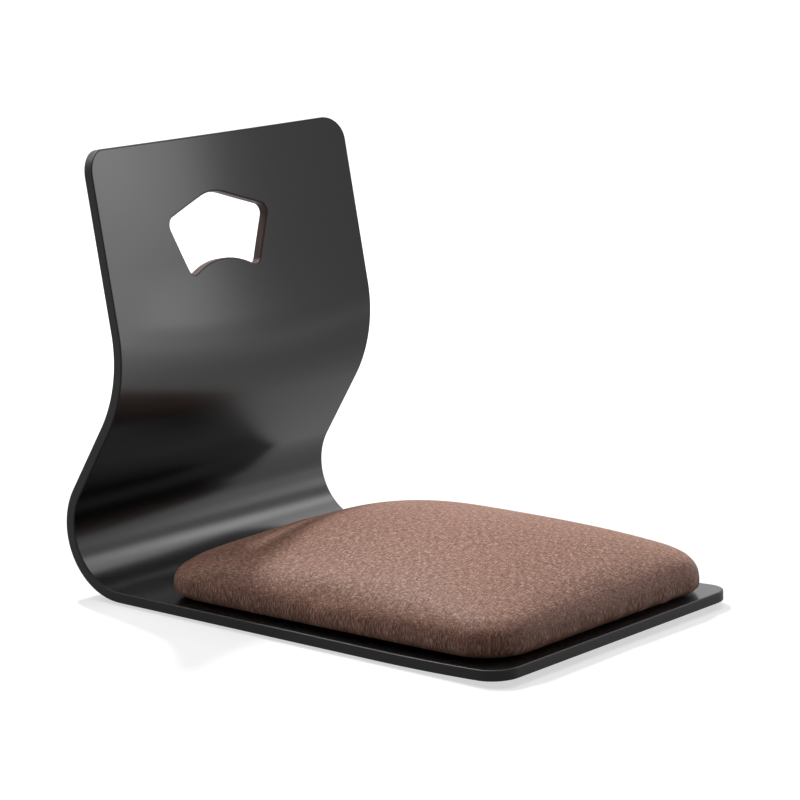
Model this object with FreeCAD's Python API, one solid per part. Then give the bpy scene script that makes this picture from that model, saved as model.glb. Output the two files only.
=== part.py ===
import FreeCAD, Part
import math
import os

from FreeCAD import Vector

# A legless floor chair: one sheet of black lacquered plywood, bent into a seat and a back
# with a hand hole, and an upholstered pad screwed to the seat from below.
# Millimetres. X runs across the chair, the sitter faces -Y, +Z is up, and the origin lies
# on the floor, below the middle of the chair's outer box.

# Plywood shell, measured on the sitter's side
shell_width = 400.0
ply_thickness = 11.0
seat_length = 485.5
front_lift = 4.4
front_lift_run = 150.0
lower_bend_radius = 62.0
lower_bend_turn = 120.4
lean_length = 81.0
lumbar_radius = 150.0
lumbar_turn = 42.3
upper_back_length = 185.0
back_dish = 25.0
dish_run = 250.0
section_spacing = 14.0
trim_allowance = 8.0
front_corner_radius = 28.0
top_corner_radius = 27.0

# Hand hole in the back, depths measured down from the top edge
hole_peak_depth = 57.0
hole_shoulder_depth = 83.5
hole_shoulder_half_width = 80.0
hole_foot_depth = 146.5
hole_foot_half_width = 52.0
hole_sill_depth = 131.0
hole_peak_radius = 60.0
hole_shoulder_radius = 10.0
hole_foot_radius = 9.0

# Seat pad
pad_side_margin = 11.2
pad_front_margin = 11.5
pad_length = 432.0
pad_seat_clearance = 0.3
foam_side_wall = 8.0
foam_shoulder_height = 14.4
foam_crown = 49.5
foam_roll = 8.6
rear_roll_ratio = 1.2
foam_edge_radius = 4.5
front_pad_corner = 49.0
rear_pad_corner = 42.0
front_corner_growth = 0.3
rear_corner_growth = 2.2
wadding_thickness = 6.0
cover_thickness = 1.5
hem_width = 32.0
board_inset = 15.0
board_thickness = 6.0
dust_cover_thickness = 0.6
dust_cover_overlap = 22.0

# Staples under the pad
staple_crown = 10.0
staple_wire_width = 1.2
staple_wire_thickness = 0.5
staple_leg = 5.0
hem_staple_spacing = 42.0
hem_staple_inset = 7.0
dust_staple_spacing = 64.0
dust_staple_inset = 5.0

# Screws, tee nuts and felt glides
screw_radius = 3.0
screw_head_radius = 6.0
screw_head_recess = 0.4
screw_head_land = 0.5
screw_tip_clearance = 0.8
screw_hole_clearance = 0.4
socket_flats = 4.0
socket_depth = 2.0
screw_half_spacing = 110.0
screw_pad_setback = 95.0
nut_clearance = 0.2
nut_barrel_radius = 4.0
nut_flange_radius = 9.5
nut_flange_thickness = 1.2
nut_prong_width = 2.4
nut_prong_length = 4.0
glide_radius = 15.0
glide_thickness = 2.5
glide_side_inset = 35.0
glide_bend_inset = 28.0

# Worked out from the sizes above
half_width = shell_width / 2
blank_half_width = half_width + trim_allowance
lift_radius = (front_lift_run**2 + front_lift**2) / (2 * front_lift)
lift_angle = math.asin(front_lift_run / lift_radius)
bend_end_heading = math.radians(lower_bend_turn)
back_heading = math.radians(lower_bend_turn - lumbar_turn)
lumbar_length = lumbar_radius * math.radians(lumbar_turn)
back_length = lean_length + lumbar_length + upper_back_length
shell_front = -ply_thickness * math.sin(lift_angle)
shell_rear = seat_length + lower_bend_radius + ply_thickness
pad_layers = wadding_thickness + cover_thickness
pad_front = pad_front_margin
pad_rear = pad_front + pad_length
pad_half_width = half_width - pad_side_margin
pad_edge_height = pad_layers + foam_edge_radius


def to_origin(shape):
    """Moves a shape from the drawing's axes, with the seat's front edge at y = 0, to the
    chair's own origin."""
    shape.translate(Vector(0, -(shell_front + shell_rear) / 2, glide_thickness))
    return shape


def save(name, solids):
    """Writes one node: a single solid, or a group of separate like solids."""
    shape = solids[0] if len(solids) == 1 else Part.makeCompound(solids)
    shape = to_origin(shape.copy())
    shape.exportStep("parts/" + name + ".step")
    print(name, len(shape.Solids), shape.isValid(), round(shape.Volume))


# The bent sheet's path, on the sitter's side, in the YZ plane
def direction(heading):
    return Vector(0, math.cos(heading), math.sin(heading))


def rearward(heading):
    """Square to the sheet, away from the sitter."""
    return Vector(0, math.sin(heading), -math.cos(heading))


bend_centre = Vector(0, seat_length, ply_thickness + lower_bend_radius)
lean_start = bend_centre + rearward(bend_end_heading) * lower_bend_radius
lumbar_start = lean_start + direction(bend_end_heading) * lean_length
lumbar_centre = lumbar_start + rearward(bend_end_heading) * lumbar_radius
upper_start = lumbar_centre - rearward(back_heading) * lumbar_radius
back_top = upper_start + direction(back_heading) * upper_back_length


def back_station(run):
    """The path's point and heading at a distance up the back from the lower bend's end."""
    if run <= lean_length:
        return lean_start + direction(bend_end_heading) * run, bend_end_heading
    if run <= lean_length + lumbar_length:
        heading = bend_end_heading - (run - lean_length) / lumbar_radius
        return lumbar_centre - rearward(heading) * lumbar_radius, heading
    rise = run - lean_length - lumbar_length
    return upper_start + direction(back_heading) * rise, back_heading


def dish_at(run):
    """How far the back's middle lies behind its side edges."""
    share = min(run / dish_run, 1.0)
    return back_dish * share * share * (3 - 2 * share)


def across(x, point):
    return Vector(x, point.y, point.z)


def back_section(run):
    """The untrimmed sheet's section, square to the path: two shallow parabolas that pass
    through the side edges' line, and two short edges."""
    point, heading = back_station(run)
    dish = dish_at(run)
    edge = dish * (1 - (blank_half_width / half_width) ** 2)
    outward = rearward(heading)

    def parabola(base, side):
        curve = Part.BezierCurve()
        start = across(-side * blank_half_width, base) + outward * edge
        end = across(side * blank_half_width, base) + outward * edge
        curve.setPoles([start, base + outward * (2 * dish - edge), end])
        return curve

    sitter_side = parabola(point, 1)
    rear_side = parabola(point + outward * ply_thickness, -1)
    right_edge = Part.LineSegment(sitter_side.EndPoint, rear_side.StartPoint)
    left_edge = Part.LineSegment(rear_side.EndPoint, sitter_side.StartPoint)
    curves = [sitter_side, right_edge, rear_side, left_edge]
    return Part.Wire([curve.toShape() for curve in curves])


def seat_and_lower_bend():
    """The part of the sheet that bends one way only, cut from one outline."""
    lift_centre = Vector(0, front_lift_run, ply_thickness + lift_radius)
    flat_start = Vector(0, front_lift_run, ply_thickness)
    flat_end = Vector(0, seat_length, ply_thickness)
    drop = Vector(0, 0, -ply_thickness)

    def lifted(angle, radius):
        return lift_centre + Vector(0, -math.sin(angle), -math.cos(angle)) * radius

    def bent(angle, radius):
        return bend_centre + rearward(angle) * radius

    lift_outer = lift_radius + ply_thickness
    bend_outer = lower_bend_radius + ply_thickness
    half_turn = bend_end_heading / 2
    outline = [
        Part.Arc(lifted(lift_angle, lift_radius), lifted(lift_angle / 2, lift_radius), flat_start),
        Part.LineSegment(flat_start, flat_end),
        Part.Arc(flat_end, bent(half_turn, lower_bend_radius), lean_start),
        Part.LineSegment(lean_start, bent(bend_end_heading, bend_outer)),
        Part.Arc(bent(bend_end_heading, bend_outer), bent(half_turn, bend_outer), flat_end + drop),
        Part.LineSegment(flat_end + drop, flat_start + drop),
        Part.Arc(flat_start + drop, lifted(lift_angle / 2, lift_outer), lifted(lift_angle, lift_outer)),
        Part.LineSegment(lifted(lift_angle, lift_outer), lifted(lift_angle, lift_radius)),
    ]
    face = Part.Face(Part.Wire([curve.toShape() for curve in outline]))
    face.translate(Vector(-blank_half_width, 0, 0))
    return face.extrude(Vector(2 * blank_half_width, 0, 0))


def back_panel():
    """The dished back, drawn through closely spaced sections."""
    runs = [0.0]
    for length in (lean_length, lumbar_length, upper_back_length + trim_allowance):
        steps = max(3, round(length / section_spacing))
        start = runs[-1]
        runs += [start + length * step / steps for step in range(1, steps + 1)]
    return Part.makeLoft([back_section(run) for run in runs], True, False)


def end_offcut(edge_point, along, through, radius):
    """What is sawn off one end of the sheet, outside its two rounded corners.
    edge_point is the middle of the finished edge, along runs into the sheet."""
    spare = 2 * trim_allowance
    inner = half_width - radius
    bulge = radius * (1 - math.sqrt(0.5))

    def at(x, depth):
        return edge_point + Vector(x, 0, 0) + along * depth

    def corner(side):
        ends = [at(side * half_width, radius), at(side * inner, 0)]
        middle = at(side * (half_width - bulge), bulge)
        return Part.Arc(ends[0], middle, ends[1])

    border = [
        at(half_width, radius),
        at(half_width + spare, radius),
        at(half_width + spare, -spare),
        at(-half_width - spare, -spare),
        at(-half_width - spare, radius),
        at(-half_width, radius),
    ]
    curves = [corner(-1), Part.LineSegment(at(-inner, 0), at(inner, 0)), corner(1)]
    curves += [Part.LineSegment(start, end) for start, end in zip(border, border[1:])]
    edges = Part.sortEdges([curve.toShape() for curve in curves])[0]
    face = Part.Face(Part.Wire(edges))
    reach = 4 * ply_thickness + back_dish
    face.translate(through * -reach)
    return face.extrude(through * (2 * reach))


def side_offcuts():
    """What is sawn off the sheet's two long sides."""
    spare = 2 * trim_allowance
    overrun = 5 * spare
    depth = shell_rear - shell_front + 2 * overrun
    height = back_top.z + 2 * spare + 2 * ply_thickness
    offcuts = []
    for start in (half_width, -half_width - spare):
        offcut = Part.makeBox(spare, depth, height)
        offcut.translate(Vector(start, shell_front - overrun, -ply_thickness))
        offcuts.append(offcut)
    return offcuts


def hand_hole():
    """The fan-shaped hole: a low gable on top, leaning sides and a sill that arches up."""
    down = direction(back_heading) * -1
    through = rearward(back_heading)

    def at(x, depth):
        return back_top + Vector(x, 0, 0) + down * depth

    peak = at(0, hole_peak_depth)
    shoulders = [at(side * hole_shoulder_half_width, hole_shoulder_depth) for side in (-1, 1)]
    feet = [at(side * hole_foot_half_width, hole_foot_depth) for side in (-1, 1)]
    outline = [
        Part.LineSegment(peak, shoulders[1]),
        Part.LineSegment(shoulders[1], feet[1]),
        Part.Arc(feet[1], at(0, hole_sill_depth), feet[0]),
        Part.LineSegment(feet[0], shoulders[0]),
        Part.LineSegment(shoulders[0], peak),
    ]
    face = Part.Face(Part.Wire([curve.toShape() for curve in outline]))
    reach = 2 * ply_thickness + back_dish
    face.translate(through * -ply_thickness)
    prism = face.extrude(through * (reach + ply_thickness))
    rounding = [(peak, hole_peak_radius)]
    rounding += [(corner, hole_shoulder_radius) for corner in shoulders]
    rounding += [(corner, hole_foot_radius) for corner in feet]
    for corner, radius in rounding:
        start = corner - through * ply_thickness
        edges = [edge for edge in prism.Edges if runs_from(edge, start, through)]
        prism = prism.makeFillet(radius, edges)
    return prism


def runs_from(edge, start, through):
    """Whether a straight edge leaves this corner along the cut's direction."""
    close = 0.01
    aligned = 0.001
    ends = [vertex.Point for vertex in edge.Vertexes]
    if len(ends) != 2 or min((end - start).Length for end in ends) > close:
        return False
    run = ends[1] - ends[0]
    return run.cross(through).Length < aligned * run.Length


def screw_places():
    """The four pad screws' axes, in plan."""
    rows = (pad_front + screw_pad_setback, pad_rear - screw_pad_setback)
    return [Vector(x, y, 0) for y in rows for x in (-screw_half_spacing, screw_half_spacing)]


def cone_and_bore(place, radius, head_radius, top):
    """A countersunk hole's void, or a countersunk screw's outside, up to a height."""
    head_bottom = place + Vector(0, 0, screw_head_recess)
    land = Part.makeCylinder(head_radius, screw_head_land, head_bottom)
    cone_height = head_radius - radius
    cone_start = head_bottom + Vector(0, 0, screw_head_land)
    cone = Part.makeCone(head_radius, radius, cone_height, cone_start)
    shank_start = cone_start + Vector(0, 0, cone_height)
    shank = Part.makeCylinder(radius, top - shank_start.z, shank_start)
    return land.fuse([cone, shank])


def shell():
    """The whole plywood shell, with its corners, hand hole and screw holes."""
    blank = seat_and_lower_bend().fuse(back_panel())
    down = direction(back_heading) * -1
    seat_edge = Vector(0, shell_front, 0)
    seat_end = end_offcut(seat_edge, Vector(0, 1, 0), Vector(0, 0, 1), front_corner_radius)
    back_end = end_offcut(back_top, down, rearward(back_heading), top_corner_radius)
    sheet = blank.cut(seat_end.fuse([back_end] + side_offcuts()))
    cuts = [hand_hole()]
    for place in screw_places():
        cuts.append(Part.makeCylinder(screw_head_radius, screw_head_recess, place))
        hole_radius = screw_radius + screw_hole_clearance
        cuts.append(cone_and_bore(place, hole_radius, screw_head_radius, ply_thickness + 1))
    return sheet.cut(cuts).removeSplitter()


# The pad is drawn flat, its cover's underside at z = 0, and then tipped so that it stands
# on the seat's raised front and on its own rear edge
def rounded_rectangle(inset, height, front_radius, rear_radius, rear_setback=0.0):
    """A level outline, inset from the pad's widest outline and set back further at the
    rear: four lines and four arcs."""
    x = pad_half_width - inset
    front = pad_front + inset
    rear = pad_rear - inset - rear_setback
    corners = [
        (Vector(x - front_radius, front + front_radius, height), front_radius, -90),
        (Vector(x - rear_radius, rear - rear_radius, height), rear_radius, 0),
        (Vector(rear_radius - x, rear - rear_radius, height), rear_radius, 90),
        (Vector(front_radius - x, front + front_radius, height), front_radius, 180),
    ]
    arcs = []
    for centre, radius, start in corners:
        points = [math.radians(start + turn) for turn in (0, 45, 90)]
        points = [centre + Vector(math.cos(a), math.sin(a), 0) * radius for a in points]
        arcs.append(points)
    edges = []
    for index, points in enumerate(arcs):
        edges.append(Part.Arc(*points).toShape())
        following = arcs[(index + 1) % len(arcs)]
        edges.append(Part.LineSegment(points[2], following[0]).toShape())
    return Part.Wire(edges)


def crown_form(grow):
    """The pad's form with a thickness grown on the foam: tucked in below, upright for a
    short way, rolled over at the shoulder, with a longer roll at the rear, and crowned
    towards the middle."""
    tuck_turns = (-90, -60, -30, 0)
    roll_turns = (0, 15, 30, 45, 60, 75, 90)
    top_shares = (0.02, 0.05, 0.09, 0.14, 0.2, 0.28, 0.38, 0.5, 0.62, 0.74, 0.86)
    corner_limit = 0.92
    base_inset = pad_layers - grow
    widest = pad_half_width - base_inset
    tuck = foam_edge_radius + grow
    roll = foam_roll + grow
    rise = foam_shoulder_height + grow
    front_corner = front_pad_corner - base_inset
    rear_corner = rear_pad_corner - base_inset
    wires = []
    for turn in tuck_turns:
        angle = math.radians(turn)
        inset = tuck * (1 - math.cos(angle))
        height = pad_edge_height + tuck * math.sin(angle)
        wires.append(rounded_rectangle(base_inset + inset, height, front_corner, rear_corner))
    insets = [roll * (1 - math.cos(math.radians(turn))) for turn in roll_turns]
    insets += [roll + (widest - roll) * share for share in top_shares]
    for inset in insets:
        rolled = min(inset / roll, 1.0)
        shoulder = foam_side_wall + (rise - foam_side_wall) * math.sqrt(1 - (1 - rolled) ** 2)
        crown = foam_crown * (1 - (1 - inset / widest) ** 2)
        limit = corner_limit * (widest - inset)
        front_radius = min(front_corner + front_corner_growth * inset, limit)
        rear_radius = min(rear_corner + rear_corner_growth * inset, limit)
        height = pad_edge_height + shoulder + crown
        setback = (rear_roll_ratio - 1) * rolled * roll
        wires.append(rounded_rectangle(base_inset + inset, height, front_radius, rear_radius, setback))
    return Part.makeLoft(wires, True, False)


def slab(inset, bottom, thickness):
    """A flat panel with the pad's rounded corners, inset from its plan."""
    face = Part.Face(rounded_rectangle(inset, bottom, front_pad_corner, rear_pad_corner))
    return face.extrude(Vector(0, 0, thickness))


def tip_up(shape):
    """Tips the flat pad about its rear edge until its front clears the raised seat."""
    contact = pad_front + pad_edge_height
    pivot = pad_rear - pad_edge_height
    raised = lift_radius - math.sqrt(lift_radius**2 - max(front_lift_run - contact, 0.0) ** 2)
    angle = math.degrees(math.atan2(raised, pivot - contact))
    lifted = ply_thickness + pad_seat_clearance + dust_cover_thickness
    shape.rotate(Vector(0, pivot, 0), Vector(1, 0, 0), -angle)
    shape.translate(Vector(0, 0, lifted))
    return shape


def staple(place, along, underside):
    """One wire staple: its crown lies flush with the underside, its legs point up."""
    half_crown = staple_crown / 2
    half_wire = staple_wire_width / 2
    crown = Part.makeBox(staple_crown, staple_wire_width, staple_wire_thickness)
    crown.translate(Vector(-half_crown, -half_wire, 0))
    legs = []
    for start in (-half_crown, half_crown - staple_wire_thickness):
        leg = Part.makeBox(staple_wire_thickness, staple_wire_width, staple_leg)
        leg.translate(Vector(start, -half_wire, 0))
        legs.append(leg)
    wire = crown.fuse(legs).removeSplitter()
    wire.rotate(Vector(0, 0, 0), Vector(0, 0, 1), math.degrees(math.atan2(along.y, along.x)))
    wire.translate(Vector(place.x, place.y, underside))
    return wire


def staple_row(inset, spacing, underside):
    """Staples spaced evenly along the four sides of an outline, clear of its corners."""
    corner_setback = max(front_pad_corner, rear_pad_corner)
    x = pad_half_width - inset
    front = pad_front + inset
    rear = pad_rear - inset
    sides = [
        (Vector(-x, front, 0), Vector(x, front, 0)),
        (Vector(-x, rear, 0), Vector(x, rear, 0)),
        (Vector(-x, front, 0), Vector(-x, rear, 0)),
        (Vector(x, front, 0), Vector(x, rear, 0)),
    ]
    staples = []
    for start, end in sides:
        along = (end - start).normalize()
        length = (end - start).Length - 2 * corner_setback
        count = max(2, round(length / spacing) + 1)
        for index in range(count):
            step = corner_setback + length * index / (count - 1)
            staples.append(staple(start + along * step, along, underside))
    return staples


def tee_nut(place, board_bottom):
    """A pronged tee nut: the flange flush with the board's top, the barrel down in it."""
    top = board_bottom + board_thickness
    foot = place + Vector(0, 0, board_bottom)
    flange_foot = place + Vector(0, 0, top - nut_flange_thickness)
    flange = Part.makeCylinder(nut_flange_radius, nut_flange_thickness, flange_foot)
    barrel = Part.makeCylinder(nut_barrel_radius, board_thickness, foot)
    prongs = []
    for turn in range(4):
        prong = Part.makeBox(nut_flange_thickness, nut_prong_width, nut_prong_length)
        start = nut_flange_radius - 2 * nut_flange_thickness
        prong.translate(Vector(start, -nut_prong_width / 2, top - nut_prong_length))
        prong.rotate(Vector(0, 0, 0), Vector(0, 0, 1), 45 + 90 * turn)
        prong.translate(place)
        prongs.append(prong)
    body = flange.fuse([barrel] + prongs)
    bore_radius = screw_radius + nut_clearance
    bore = Part.makeCylinder(bore_radius, 2 * board_thickness, foot - Vector(0, 0, board_thickness / 2))
    return body.cut(bore).removeSplitter()


def pad_screw(place, top):
    """A countersunk socket screw, put in from under the shell."""
    body = cone_and_bore(place, screw_radius, screw_head_radius, top)
    corner = socket_flats / math.sqrt(3)
    points = [Vector(corner, 0, 0)]
    for turn in range(1, 7):
        angle = math.radians(60 * turn)
        points.append(Vector(corner * math.cos(angle), corner * math.sin(angle), 0))
    socket = Part.Face(Part.makePolygon(points)).extrude(Vector(0, 0, socket_depth))
    socket.translate(place + Vector(0, 0, screw_head_recess))
    return body.cut(socket)


def glide_places():
    """The four felt glides' centres and names, on the flat of the seat's underside."""
    x = half_width - glide_side_inset
    front = front_lift_run + glide_radius
    rear = seat_length - glide_bend_inset
    places = []
    for row, y in (("front", front), ("rear", rear)):
        places.append(("felt_glide_" + row + "_left", Vector(-x, y, -glide_thickness)))
        places.append(("felt_glide_" + row + "_right", Vector(x, y, -glide_thickness)))
    return places


def build_pad():
    """All the pad's pieces, flat, as lists of solids by node name."""
    outer = crown_form(pad_layers)
    lining = crown_form(wadding_thickness)
    foam = crown_form(0.0)
    board = slab(board_inset, cover_thickness, board_thickness)
    window = slab(board_inset + hem_width, 0, cover_thickness)
    dust_inset = board_inset + hem_width - dust_cover_overlap
    dust_cover = slab(dust_inset, -dust_cover_thickness, dust_cover_thickness)
    hem_staples = staple_row(board_inset + hem_staple_inset, hem_staple_spacing, 0)
    dust_row_inset = dust_inset + dust_staple_inset
    dust_staples = staple_row(dust_row_inset, dust_staple_spacing, -dust_cover_thickness)
    nuts = [tee_nut(place, cover_thickness) for place in screw_places()]
    holes = []
    for place in screw_places():
        start = place - Vector(0, 0, 2 * dust_cover_thickness)
        holes.append(Part.makeCylinder(nut_barrel_radius, pad_edge_height, start))
    cover = outer.cut(lining).cut([window] + hem_staples + dust_staples)
    wadding = lining.cut([foam, board])
    foam = foam.cut(board)
    board = board.cut(nuts + holes + hem_staples + dust_staples)
    dust_cover = dust_cover.cut(holes + dust_staples)
    return {
        "seat_board": [board],
        "tee_nuts": nuts,
        "foam_core": [foam],
        "wadding": [wadding],
        "seat_cover": [cover],
        "dust_cover": [dust_cover],
        "cover_staples": hem_staples,
        "dust_cover_staples": dust_staples,
    }


os.makedirs("parts", exist_ok=True)
save("shell", shell().Solids)
for name, solids in build_pad().items():
    save(name, [tip_up(solid) for solid in solids])
board_top = ply_thickness + pad_seat_clearance + dust_cover_thickness + cover_thickness + board_thickness
screw_top = board_top - screw_tip_clearance
save("pad_screws", [pad_screw(place, screw_top) for place in screw_places()])
for name, place in glide_places():
    save(name, [Part.makeCylinder(glide_radius, glide_thickness, place)])
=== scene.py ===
import math

import bmesh
import bpy
import numpy as np
from mathutils import Matrix, Vector
from mathutils.geometry import delaunay_2d_cdt


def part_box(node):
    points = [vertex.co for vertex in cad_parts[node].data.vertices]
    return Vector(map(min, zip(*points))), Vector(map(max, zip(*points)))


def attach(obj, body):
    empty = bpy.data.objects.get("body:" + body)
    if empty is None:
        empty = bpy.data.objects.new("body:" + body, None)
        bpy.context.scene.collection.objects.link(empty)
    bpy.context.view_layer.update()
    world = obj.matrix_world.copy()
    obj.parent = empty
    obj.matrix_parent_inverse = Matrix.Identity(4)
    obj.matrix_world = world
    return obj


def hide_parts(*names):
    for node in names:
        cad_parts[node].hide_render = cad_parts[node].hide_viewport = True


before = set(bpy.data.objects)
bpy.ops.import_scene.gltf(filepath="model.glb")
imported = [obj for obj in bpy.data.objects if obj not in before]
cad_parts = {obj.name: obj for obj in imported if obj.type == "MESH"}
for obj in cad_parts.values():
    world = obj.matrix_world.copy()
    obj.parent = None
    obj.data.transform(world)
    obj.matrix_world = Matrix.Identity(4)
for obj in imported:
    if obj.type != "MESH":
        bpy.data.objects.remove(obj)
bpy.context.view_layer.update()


# The view: a long lens a little above the seat, in front of the chair and to its left as
# seen from there, where the chair fills a square picture.
VIEW_SPOT = Vector((-2.589, -2.046, 0.8945))
VIEW_AZIMUTH = math.radians(-51.69)
VIEW_ELEVATION = math.radians(11.73)
VIEW_ROLL = math.radians(0.15)
LENS = 149.08
SENSOR_WIDTH = 36.0


def in_scene(name, data):
    """A new object that shows in the scene."""
    made = bpy.data.objects.new(name, data)
    bpy.context.scene.collection.objects.link(made)
    return made


back = Vector((
    math.sin(VIEW_AZIMUTH) * math.cos(VIEW_ELEVATION),
    -math.cos(VIEW_AZIMUTH) * math.cos(VIEW_ELEVATION),
    math.sin(VIEW_ELEVATION),
))
right = Vector((math.cos(VIEW_AZIMUTH), math.sin(VIEW_AZIMUTH), 0))
turn = Matrix((right, back.cross(right), back)).transposed().to_4x4()
camera_data = bpy.data.cameras.new("camera")
camera_data.lens = LENS
camera_data.sensor_width = SENSOR_WIDTH
camera = in_scene("camera", camera_data)
camera.matrix_world = Matrix.Translation(VIEW_SPOT) @ turn @ Matrix.Rotation(VIEW_ROLL, 4, "Z")
bpy.context.scene.camera = camera


# The bent plywood shell: seat and back are one sheet of glued veneers, pressed over a
# mould, sawn to its outline with a hand hole, eased along every edge and lacquered black.
SHELL_WIDTH = 0.400
PLY = 0.011
SEAT_LENGTH = 0.4855
FRONT_LIFT = 0.0044
FRONT_LIFT_RUN = 0.150
BEND_RADIUS = 0.062
BEND_TURN = math.radians(120.4)
LEAN_LENGTH = 0.081
LUMBAR_RADIUS = 0.150
LUMBAR_TURN = math.radians(42.3)
UPPER_LENGTH = 0.185
DISH = 0.025
DISH_RUN = 0.250
FRONT_CORNER = 0.028
TOP_CORNER = 0.027
ARRIS = 0.0014
EDGE_SUPPORT = 0.0004
ARRIS_STEPS = 5
FACE_STEP_ALONG = 0.004
FACE_STEP_ACROSS = 0.008
GLIDE_THICKNESS = 0.0025

half_width = SHELL_WIDTH / 2
lift_radius = (FRONT_LIFT_RUN**2 + FRONT_LIFT**2) / (2 * FRONT_LIFT)
lift_angle = math.asin(FRONT_LIFT_RUN / lift_radius)
path_lengths = [
    lift_radius * lift_angle,
    SEAT_LENGTH - FRONT_LIFT_RUN,
    BEND_RADIUS * BEND_TURN,
    LEAN_LENGTH,
    LUMBAR_RADIUS * LUMBAR_TURN,
    UPPER_LENGTH,
]
path_length = sum(path_lengths)
back_start = sum(path_lengths[:3])
shell_front = -PLY * math.sin(lift_angle)
shell_rear = SEAT_LENGTH + BEND_RADIUS + PLY
shell_origin = Vector((0, -(shell_front + shell_rear) / 2, GLIDE_THICKNESS))


def path_steps():
    """The sheet's runs on the sitter's side: start point, start heading, turn and length."""
    turns = [lift_angle, 0, BEND_TURN, 0, -LUMBAR_TURN, 0]
    point = Vector((0, 0, PLY + FRONT_LIFT))
    heading = -lift_angle
    steps = []
    for turned, length in zip(turns, path_lengths):
        steps.append((point, heading, turned, length))
        point, heading = along_step(steps[-1], length)
    return steps


def along_step(step, run):
    """Where a run along one straight or curved step ends, and its heading there."""
    point, heading, turned, length = step
    if turned == 0:
        return point + Vector((0, math.cos(heading), math.sin(heading))) * run, heading
    radius = length / turned
    end = heading + run / radius
    across = Vector((0, math.sin(end) - math.sin(heading), math.cos(heading) - math.cos(end)))
    return point + across * radius, end


steps_of_path = path_steps()


def shell_point(x, run, depth):
    """A point of the sheet: across, along the path from the front edge, and into its
    thickness from the sitter's face."""
    left_over = run
    for step in steps_of_path:
        if left_over <= step[3] or step is steps_of_path[-1]:
            break
        left_over -= step[3]
    point, heading = along_step(step, left_over)
    share = min(max((run - back_start) / DISH_RUN, 0.0), 1.0)
    dish = DISH * share * share * (3 - 2 * share) * (1 - (x / half_width) ** 2)
    outward = Vector((0, math.sin(heading), -math.cos(heading)))
    return shell_origin + point + outward * (dish + depth) + Vector((x, 0, 0))


def arc(centre, radius, start, end, step=math.radians(5)):
    """Points on an arc in the flat outline, ends included, angles in radians."""
    count = max(2, math.ceil(abs(end - start) / step))
    angles = [start + (end - start) * index / count for index in range(count + 1)]
    return [(centre[0] + radius * math.cos(a), centre[1] + radius * math.sin(a)) for a in angles]


def filled_in(loop, step):
    """The loop with its long straight stretches divided."""
    filled = []
    for start, end in zip(loop, loop[1:] + loop[:1]):
        length = math.dist(start, end)
        count = max(1, round(length / step))
        for index in range(count):
            share = index / count
            filled.append(tuple(a + (b - a) * share for a, b in zip(start, end)))
    return filled


def rounded_rectangle(x, front, rear, front_radius, rear_radius):
    """A flat outline as wide as x to both sides, with two radii for its corners."""
    quarter = math.pi / 2
    loop = arc((x - front_radius, front + front_radius), front_radius, -quarter, 0)
    loop += arc((x - rear_radius, rear - rear_radius), rear_radius, 0, quarter)
    loop += arc((rear_radius - x, rear - rear_radius), rear_radius, quarter, 2 * quarter)
    loop += arc((front_radius - x, front + front_radius), front_radius, 2 * quarter, 3 * quarter)
    return loop


def sheet_outline():
    """The trimmed sheet, flat: x across, y along the path."""
    loop = rounded_rectangle(half_width, 0, path_length, FRONT_CORNER, TOP_CORNER)
    return filled_in(loop, FACE_STEP_ALONG)


PEAK_DEPTH = 0.057
SHOULDER = (0.080, 0.0835)
FOOT = (0.052, 0.1465)
SILL_DEPTH = 0.131
PEAK_ROUNDING = 0.060
SHOULDER_ROUNDING = 0.010
FOOT_ROUNDING = 0.009
PEAK_ARC_STEP = math.radians(2)
SILL_ARC_STEP = math.radians(1.5)
HOLE_STEP = 0.003


def hand_hole_outline():
    """The fan-shaped hand hole: a low gable, leaning sides and a sill that arches up.
    Worked out on its right half, depths down from the top edge, then mirrored."""
    gable = Vector((SHOULDER[0], SHOULDER[1] - PEAK_DEPTH)).normalized()
    side = Vector((FOOT[0] - SHOULDER[0], FOOT[1] - SHOULDER[1])).normalized()
    into_from_gable = Vector((-gable.y, gable.x))
    into_from_side = Vector((-side.y, side.x))
    gable_angle = math.atan2(-into_from_gable.y, -into_from_gable.x)
    side_angle = math.atan2(-into_from_side.y, -into_from_side.x)
    sill_drop = FOOT[1] - SILL_DEPTH
    sill_radius = (FOOT[0] ** 2 + sill_drop**2) / (2 * sill_drop)
    sill_centre = Vector((0, SILL_DEPTH + sill_radius))

    peak_centre = (0, PEAK_DEPTH + PEAK_ROUNDING / into_from_gable.y)
    turn_angle = gable.angle(side)
    shoulder_centre = Vector(SHOULDER) + (side - gable).normalized() * (
        SHOULDER_ROUNDING / math.cos(turn_angle / 2))
    base = Vector(SHOULDER) + into_from_side * FOOT_ROUNDING - sill_centre
    reach = sill_radius + FOOT_ROUNDING
    lengthwise = base.dot(side)
    run = -lengthwise + math.sqrt(lengthwise**2 - base.length_squared + reach**2)
    if (base + side * run).y > 0:
        run = -lengthwise - math.sqrt(lengthwise**2 - base.length_squared + reach**2)
    foot_centre = sill_centre + base + side * run
    sill_contact = (sill_centre - foot_centre).normalized()
    contact_angle = math.atan2(sill_contact.y, sill_contact.x)
    sill_angle = math.atan2(-sill_contact.y, -sill_contact.x)

    half = arc(peak_centre, PEAK_ROUNDING, -math.pi / 2, gable_angle, PEAK_ARC_STEP)
    half += arc(shoulder_centre, SHOULDER_ROUNDING, gable_angle, side_angle)
    half += arc(foot_centre, FOOT_ROUNDING, side_angle, contact_angle)
    half += arc(sill_centre, sill_radius, sill_angle, -math.pi / 2, SILL_ARC_STEP)
    mirrored = [(-x, depth) for x, depth in reversed(half[1:-1])]
    loop = [(x, path_length - depth) for x, depth in half + mirrored]
    return filled_in(loop, HOLE_STEP)


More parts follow.
